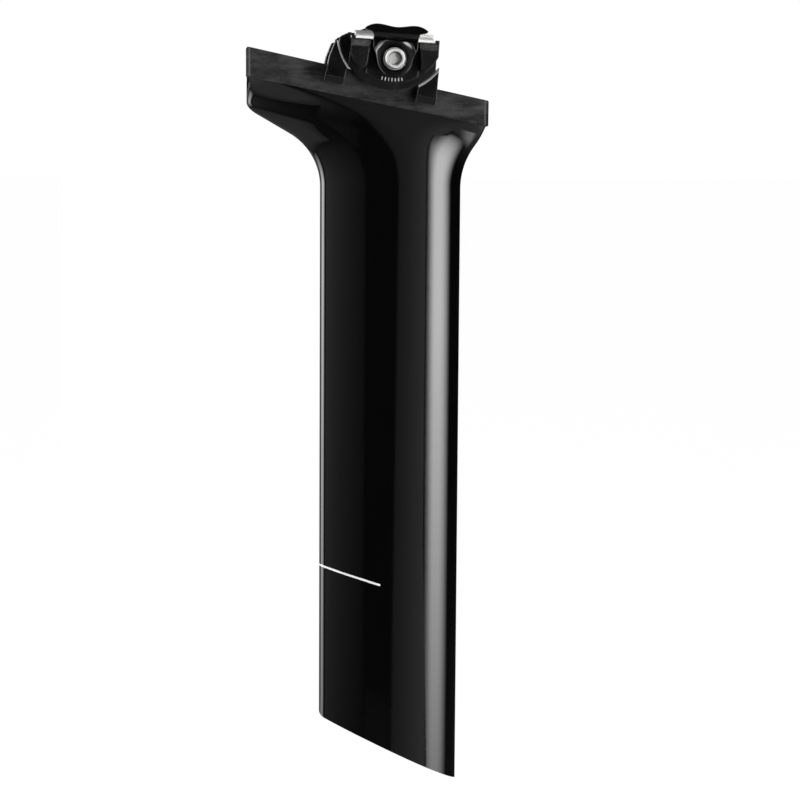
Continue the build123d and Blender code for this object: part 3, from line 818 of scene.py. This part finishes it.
def lampMaterial(name, width, height, leftFade, rightFade, leftStrength, rightStrength, footShare,
                 headFade, isClear):
    # a cloth softbox: its sides and top fade, and it may be stronger at one side or in its upper half
    material, tree, where = newMaterial(name)
    apart = addNode(tree, "ShaderNodeSeparateXYZ", None, {0: where}).outputs
    strength = addNode(tree, "ShaderNodeMapRange",
                       {"From Min": -width / 2, "From Max": width / 2, "To Min": leftStrength,
                        "To Max": rightStrength}, {"Value": apart[0]})
    left = addNode(tree, "ShaderNodeMapRange",
                   {"interpolation_type": "SMOOTHSTEP", "From Min": -width / 2,
                    "From Max": width * (leftFade - 0.5)}, {"Value": apart[0]})
    right = addNode(tree, "ShaderNodeMapRange",
                    {"interpolation_type": "SMOOTHSTEP", "From Min": width / 2,
                     "From Max": width * (0.5 - rightFade)}, {"Value": apart[0]})
    foot = addNode(tree, "ShaderNodeMapRange",
                   {"From Min": -height / 2, "From Max": 0.0, "To Min": footShare, "To Max": 1.0},
                   {"Value": apart[2]})
    head = addNode(tree, "ShaderNodeMapRange",
                   {"interpolation_type": "SMOOTHSTEP", "From Min": height / 2,
                    "From Max": height * (0.5 - headFade)}, {"Value": apart[2]})
    faded = addNode(tree, "ShaderNodeMath", {"operation": "MULTIPLY"}, {0: left, 1: right})
    upright = addNode(tree, "ShaderNodeMath", {"operation": "MULTIPLY"}, {0: foot, 1: head})
    shaped = addNode(tree, "ShaderNodeMath", {"operation": "MULTIPLY"}, {0: faded, 1: upright})
    glow = addNode(tree, "ShaderNodeMath", {"operation": "MULTIPLY"}, {0: strength, 1: shaped})
    lamp = addNode(tree, "ShaderNodeEmission", None, {"Strength": glow})
    if isClear:
        # it adds its light to that of the box behind it
        clear = addNode(tree, "ShaderNodeBsdfTransparent")
        lamp = addNode(tree, "ShaderNodeAddShader", None, {0: lamp, 1: clear})
    addNode(tree, "ShaderNodeOutputMaterial", None, {"Surface": lamp})
    return material


def makeSoftboxes():
    flagged = bpy.data.collections.new("earsOnly")
    for piece in earPieces:
        flagged.objects.link(piece)
    for name, (azimuth, elevation, distance, width, height, *light) in studio["boxes"].items():
        w, h = width / 2, height / 2
        glow = lampMaterial(name, width, height, *light, name in studio["clearBoxes"])
        box = stageObject(name, [(-w, 0, -h), (w, 0, -h), (w, 0, h), (-w, 0, h)], [(3, 2, 1, 0)], glow)
        a, e = math.radians(azimuth), math.radians(elevation)
        box.location = (distance * math.cos(e) * math.sin(a), -distance * math.cos(e) * math.cos(a),
                        0.1 + distance * math.sin(e))
        box.rotation_euler = (-e, 0, a)
        box.visible_camera = False
        if name in studio["flaggedBoxes"]:
            box.light_linking.receiver_collection = flagged


def makeFloor():
    # white paper: the camera sees it white where no shadow falls; for gloss it glows instead, a painted pool of light
    # that is brightest under the object
    finish, tree, where = newMaterial("whitePaperFloor")
    mottle = addNode(tree, "ShaderNodeTexNoise", {"Scale": 8.0}, {"Vector": where})
    colour = addNode(tree, "ShaderNodeMix", {"data_type": "RGBA", 6: toLinear("#e6e6e6"), 7: toLinear("#ececec")},
                     {0: mottle})
    paper = addNode(tree, "ShaderNodeBsdfDiffuse", None, {"Color": colour.outputs[2]})
    rays = addNode(tree, "ShaderNodeLightPath").outputs
    away = addNode(tree, "ShaderNodeVectorMath", {"operation": "DISTANCE", 1: (0, 0, studio["floorHeight"])},
                   {0: where})
    falling = addNode(tree, "ShaderNodeMath", {"operation": "POWER", 1: studio["floorFading"]},
                      {0: away.outputs["Value"]})
    below = addNode(tree, "ShaderNodeMath", {"operation": "MULTIPLY", 1: studio["floorMirrored"]}, {0: falling})
    capped = addNode(tree, "ShaderNodeMath", {"operation": "MINIMUM", 1: studio["floorBrightest"]}, {0: below})
    # painted light: the glow that gloss sees in place of the lit floor
    mirrored = addNode(tree, "ShaderNodeEmission", None, {"Strength": capped})
    backlit = addNode(tree, "ShaderNodeMath", {"operation": "MULTIPLY", 1: studio["floorSeen"]},
                      {0: rays["Is Camera Ray"]})
    glow = addNode(tree, "ShaderNodeEmission", None, {"Strength": backlit})
    lit = addNode(tree, "ShaderNodeAddShader", None, {0: paper, 1: glow})
    seen = addNode(tree, "ShaderNodeMixShader", None, {0: rays["Is Glossy Ray"], 1: lit, 2: mirrored})
    addNode(tree, "ShaderNodeOutputMaterial", None, {"Surface": seen})
    z = studio["floorHeight"]
    stageObject("floor", [(-6, -4, z), (6, -4, z), (30, 60, z), (-30, 60, z)], [(0, 1, 2, 3)], finish)


def makeWorld():
    world = bpy.data.worlds.new("whiteWorld")
    bpy.context.scene.world = world
    world.use_nodes = True
    tree = world.node_tree
    tree.nodes.clear()
    rays = addNode(tree, "ShaderNodeLightPath").outputs
    seen = addNode(tree, "ShaderNodeMath", {"operation": "MAXIMUM"},
                   {0: rays["Is Camera Ray"], 1: rays["Is Transmission Ray"]})
    strength = addNode(tree, "ShaderNodeMapRange", {"To Min": studio["worldFill"], "To Max": 1.0}, {"Value": seen})
    sky = addNode(tree, "ShaderNodeBackground", {"Color": (1, 1, 1, 1)}, {"Strength": strength})
    addNode(tree, "ShaderNodeOutputWorld", None, {"Surface": sky})


def makeBackdrop():
    # a narrow white sheet behind the object, which the rounded edges mirror
    finish, tree = newMaterial("whiteBackdrop")[:2]
    rays = addNode(tree, "ShaderNodeLightPath").outputs
    seen = addNode(tree, "ShaderNodeMath", {"operation": "MAXIMUM"},
                   {0: rays["Is Glossy Ray"], 1: rays["Is Camera Ray"]})
    white = addNode(tree, "ShaderNodeEmission", None, {"Strength": seen})
    addNode(tree, "ShaderNodeOutputMaterial", None, {"Surface": white})
    sheet = studio["backdrop"]
    half, y, low, high = sheet["half"], sheet["behind"], studio["floorHeight"], sheet["top"]
    stageObject("backdrop", [(-half, y, low), (half, y, low), (half, y, high), (-half, y, high)], [(0, 1, 2, 3)],
                finish)


makeSoftboxes()
makeFloor()
makeWorld()
makeBackdrop()
bpy.context.scene.view_settings.view_transform = "Standard"
print("studio set")
